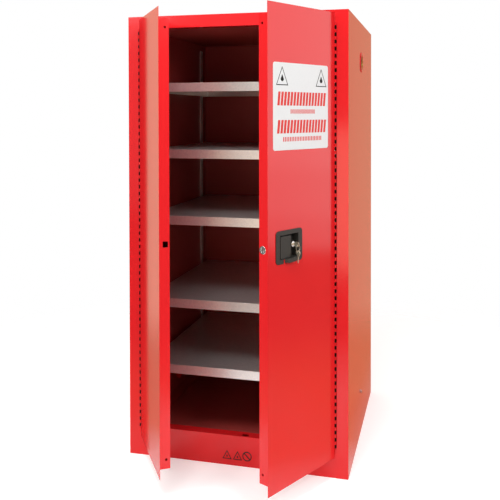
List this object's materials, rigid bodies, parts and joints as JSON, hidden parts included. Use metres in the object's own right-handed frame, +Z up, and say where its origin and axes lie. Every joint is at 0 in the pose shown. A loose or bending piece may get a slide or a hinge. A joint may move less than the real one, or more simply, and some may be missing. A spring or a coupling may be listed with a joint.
{
  "type": "flammable liquids storage cabinet",
  "caption": "Double-walled steel safety cabinet: two doors standing open, adjustable trays over a sump, flanged side vents and a paddle handle with a key lock.",
  "frame": {"origin": "floor level under the centre of the cabinet body", "axes": "+Z up, the doors face -Y, +X to the right as seen from in front"},
  "size_m": [0.8502, 1.2002, 1.68],
  "materials": {
    "red_enamel": "semi-gloss powder coat",
    "liner_enamel": "semi-gloss powder coat",
    "galvanised": "galvanised",
    "zinc_steel": "zinc plated",
    "dark_steel": "oiled, unpainted",
    "black_diecast": "fine texture black paint",
    "chrome": "polished",
    "nickel": "nickel plated",
    "brass": "woven mesh",
    "white_vinyl": "satin film"
  },
  "bodies": {
    "cabinet": {"outer_side_left": "red_enamel", "outer_side_right": "red_enamel", "outer_back": "red_enamel", "outer_top": "red_enamel", "outer_base": "red_enamel", "top_rail": "red_enamel", "sill": "red_enamel", "liner_side_left": "liner_enamel", "liner_side_right": "liner_enamel", "liner_back": "liner_enamel", "liner_top": "liner_enamel", "sump_pan": "liner_enamel", "wall_spacers": "galvanised", "shelf_standards": "galvanised", "shelf_clips": "galvanised", "hinge_frame_leaf_left": "dark_steel", "hinge_frame_leaf_right": "dark_steel", "hinge_pins": "dark_steel", "vent_sockets": "red_enamel", "flame_arresters": "brass", "ground_screw": "zinc_steel", "foot_bridges": "galvanised"},
    "left_door": {"left_door_skin": "red_enamel", "left_door_pan": "red_enamel", "left_door_liner": "red_enamel", "strike_plate": "zinc_steel", "hinge_door_leaf_left": "red_enamel"},
    "right_door": {"right_door_skin": "red_enamel", "right_door_pan": "red_enamel", "right_door_liner": "red_enamel", "hinge_door_leaf_right": "red_enamel", "door_label": "white_vinyl", "latch_cover": "red_enamel", "cam_pivot": "zinc_steel", "latch_plate": "zinc_steel", "rod_guides": "zinc_steel", "latch_guide": "chrome", "handle_bezel": "black_diecast", "padlock_tab": "black_diecast", "paddle_pin": "zinc_steel", "lock_housing": "chrome"},
    "paddle": {"paddle": "black_diecast"},
    "lock_plug": {"lock_plug": "chrome"},
    "key": {"key": "nickel"},
    "key_ring": {"key_ring": "nickel"},
    "spare_key": {"spare_key": "nickel"},
    "latch_cam": {"latch_cam": "zinc_steel"},
    "top_rod": {"top_rod": "zinc_steel"},
    "bottom_rod": {"bottom_rod": "zinc_steel"},
    "centre_bolt": {"centre_bolt": "chrome"},
    "shelf_1": {"shelf_1": "galvanised"},
    "shelf_2": {"shelf_2": "galvanised"},
    "shelf_3": {"shelf_3": "galvanised"},
    "shelf_4": {"shelf_4": "galvanised"},
    "shelf_5": {"shelf_5": "galvanised"},
    "foot_front_left": {"foot_front_left": "zinc_steel"},
    "foot_front_right": {"foot_front_right": "zinc_steel"},
    "foot_rear_left": {"foot_rear_left": "zinc_steel"},
    "foot_rear_right": {"foot_rear_right": "zinc_steel"}
  },
  "joints": [
    {"name": "left_door_hinge", "type": "hinge", "parent": "cabinet", "child": "left_door", "pos_m": [-0.3755, -0.436, 0.873], "axis": [0, 0, -1], "range_deg": [-57, 113]},
    {"name": "right_door_hinge", "type": "hinge", "parent": "cabinet", "child": "right_door", "pos_m": [0.3755, -0.436, 0.873], "axis": [0, 0, 1], "range_deg": [-63, 107]},
    {"name": "latch_cam_pivot", "type": "hinge", "parent": "right_door", "child": "latch_cam", "pos_m": [0.1982, -0.72669, 0.93], "axis": [0.891, -0.454, 0], "range_deg": [0, 52]},
    {"name": "top_rod_slide", "type": "slide", "parent": "right_door", "child": "top_rod", "axis": [0, 0, 1], "range_m": [0, 0.0141]},
    {"name": "bottom_rod_slide", "type": "slide", "parent": "right_door", "child": "bottom_rod", "axis": [0, 0, -1], "range_m": [0, 0.014]},
    {"name": "centre_bolt_slide", "type": "slide", "parent": "right_door", "child": "centre_bolt", "axis": [-0.454, -0.891, 0], "range_m": [0, 0.0141]},
    {"name": "paddle_pivot", "type": "hinge", "parent": "right_door", "child": "paddle", "pos_m": [0.23121, -0.70928, 0.872], "axis": [0, 0, -1], "range_deg": [0, 35], "stiffness_Nm_per_rad": 0.2, "springref_deg": -34.38},
    {"name": "lock_turn", "type": "hinge", "parent": "right_door", "child": "lock_plug", "pos_m": [0.26345, -0.6449, 0.876], "axis": [0.891, -0.454, 0], "range_deg": [0, 90]},
    {"name": "key_pull", "type": "slide", "parent": "lock_plug", "child": "key", "axis": [0.891, -0.454, 0], "range_m": [0, 0.03]},
    {"name": "key_ring_swing", "type": "hinge", "parent": "key", "child": "key_ring", "pos_m": [0.28171, -0.65421, 0.8742], "axis": [0.454, 0.891, 0], "range_deg": [-25, 6]},
    {"name": "spare_key_swing", "type": "hinge", "parent": "key_ring", "child": "spare_key", "pos_m": [0.28171, -0.65421, 0.8542], "axis": [0.454, 0.891, 0], "range_deg": [-25, 2]},
    {"name": "shelf_1_lift", "type": "slide", "parent": "cabinet", "child": "shelf_1", "axis": [0, 0, 1], "range_m": [0, 0.06]},
    {"name": "shelf_2_lift", "type": "slide", "parent": "cabinet", "child": "shelf_2", "axis": [0, 0, 1], "range_m": [0, 0.06]},
    {"name": "shelf_3_lift", "type": "slide", "parent": "cabinet", "child": "shelf_3", "axis": [0, 0, 1], "range_m": [0, 0.06]},
    {"name": "shelf_4_lift", "type": "slide", "parent": "cabinet", "child": "shelf_4", "axis": [0, 0, 1], "range_m": [0, 0.06]},
    {"name": "shelf_5_lift", "type": "slide", "parent": "cabinet", "child": "shelf_5", "axis": [0, 0, 1], "range_m": [0, 0.06]},
    {"name": "foot_front_left_level", "type": "slide", "parent": "cabinet", "child": "foot_front_left", "axis": [0, 0, -1], "range_m": [0, 0.015]},
    {"name": "foot_front_right_level", "type": "slide", "parent": "cabinet", "child": "foot_front_right", "axis": [0, 0, -1], "range_m": [0, 0.015]},
    {"name": "foot_rear_left_level", "type": "slide", "parent": "cabinet", "child": "foot_rear_left", "axis": [0, 0, -1], "range_m": [0, 0.015]},
    {"name": "foot_rear_right_level", "type": "slide", "parent": "cabinet", "child": "foot_rear_right", "axis": [0, 0, -1], "range_m": [0, 0.015]}
  ],
  "couplings": [
    {"joint": "latch_cam_pivot", "follows": "bottom_rod_slide", "rad_per_m": 64.688},
    {"joint": "top_rod_slide", "follows": "bottom_rod_slide", "ratio": 1},
    {"joint": "centre_bolt_slide", "follows": "bottom_rod_slide", "ratio": 1}
  ]
}
